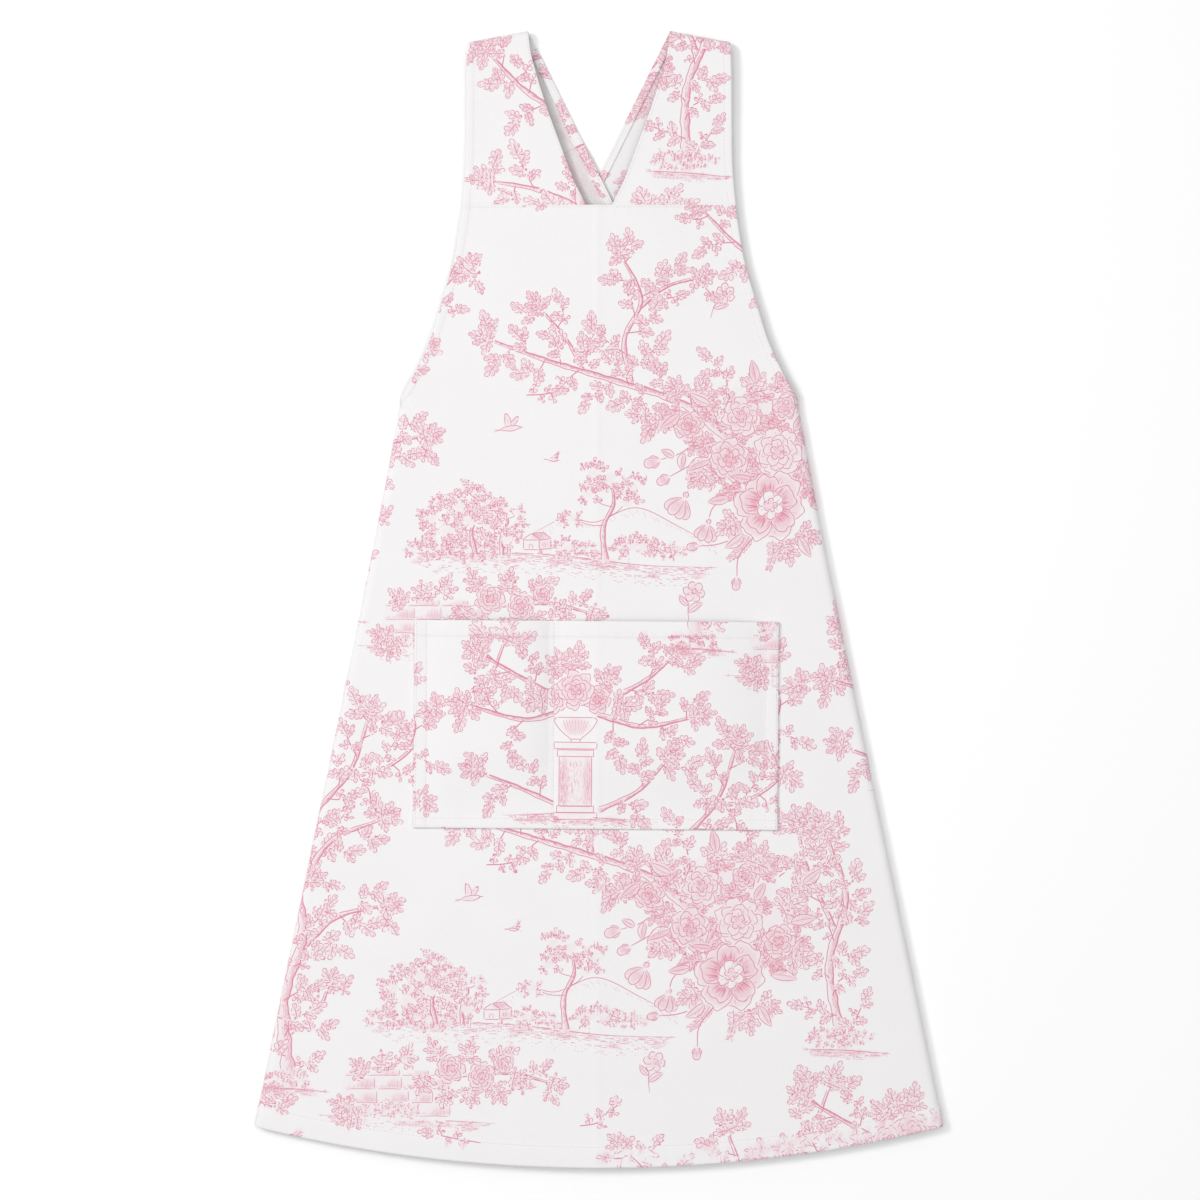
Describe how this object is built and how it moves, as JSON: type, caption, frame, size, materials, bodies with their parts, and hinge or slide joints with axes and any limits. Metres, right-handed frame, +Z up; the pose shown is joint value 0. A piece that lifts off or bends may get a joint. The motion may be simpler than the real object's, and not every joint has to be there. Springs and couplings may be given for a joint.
{
  "type": "cross back apron",
  "caption": "Bibbed apron of printed cotton that lies flat, with wide straps that cross behind, a wrapped skirt and a divided patch pocket on the front.",
  "frame": {"origin": "middle of the part's footprint, on the surface that it lies on", "axes": "+Y along the apron from the hem to the shoulders, +Z up out of the front, +X to the right as one looks down on the front"},
  "size_m": [0.5762, 0.95, 0.0214],
  "materials": {
    "printed_cotton": "matt plain-woven white cotton, printed one side with a pink line pattern of boughs, flowers and small landscapes"
  },
  "bodies": {
    "root": {"front_panel": "printed_cotton", "back_panel_left": "printed_cotton", "back_panel_right": "printed_cotton", "strap_left": "printed_cotton", "strap_right": "printed_cotton", "pocket": "printed_cotton"}
  },
  "joints": []
}
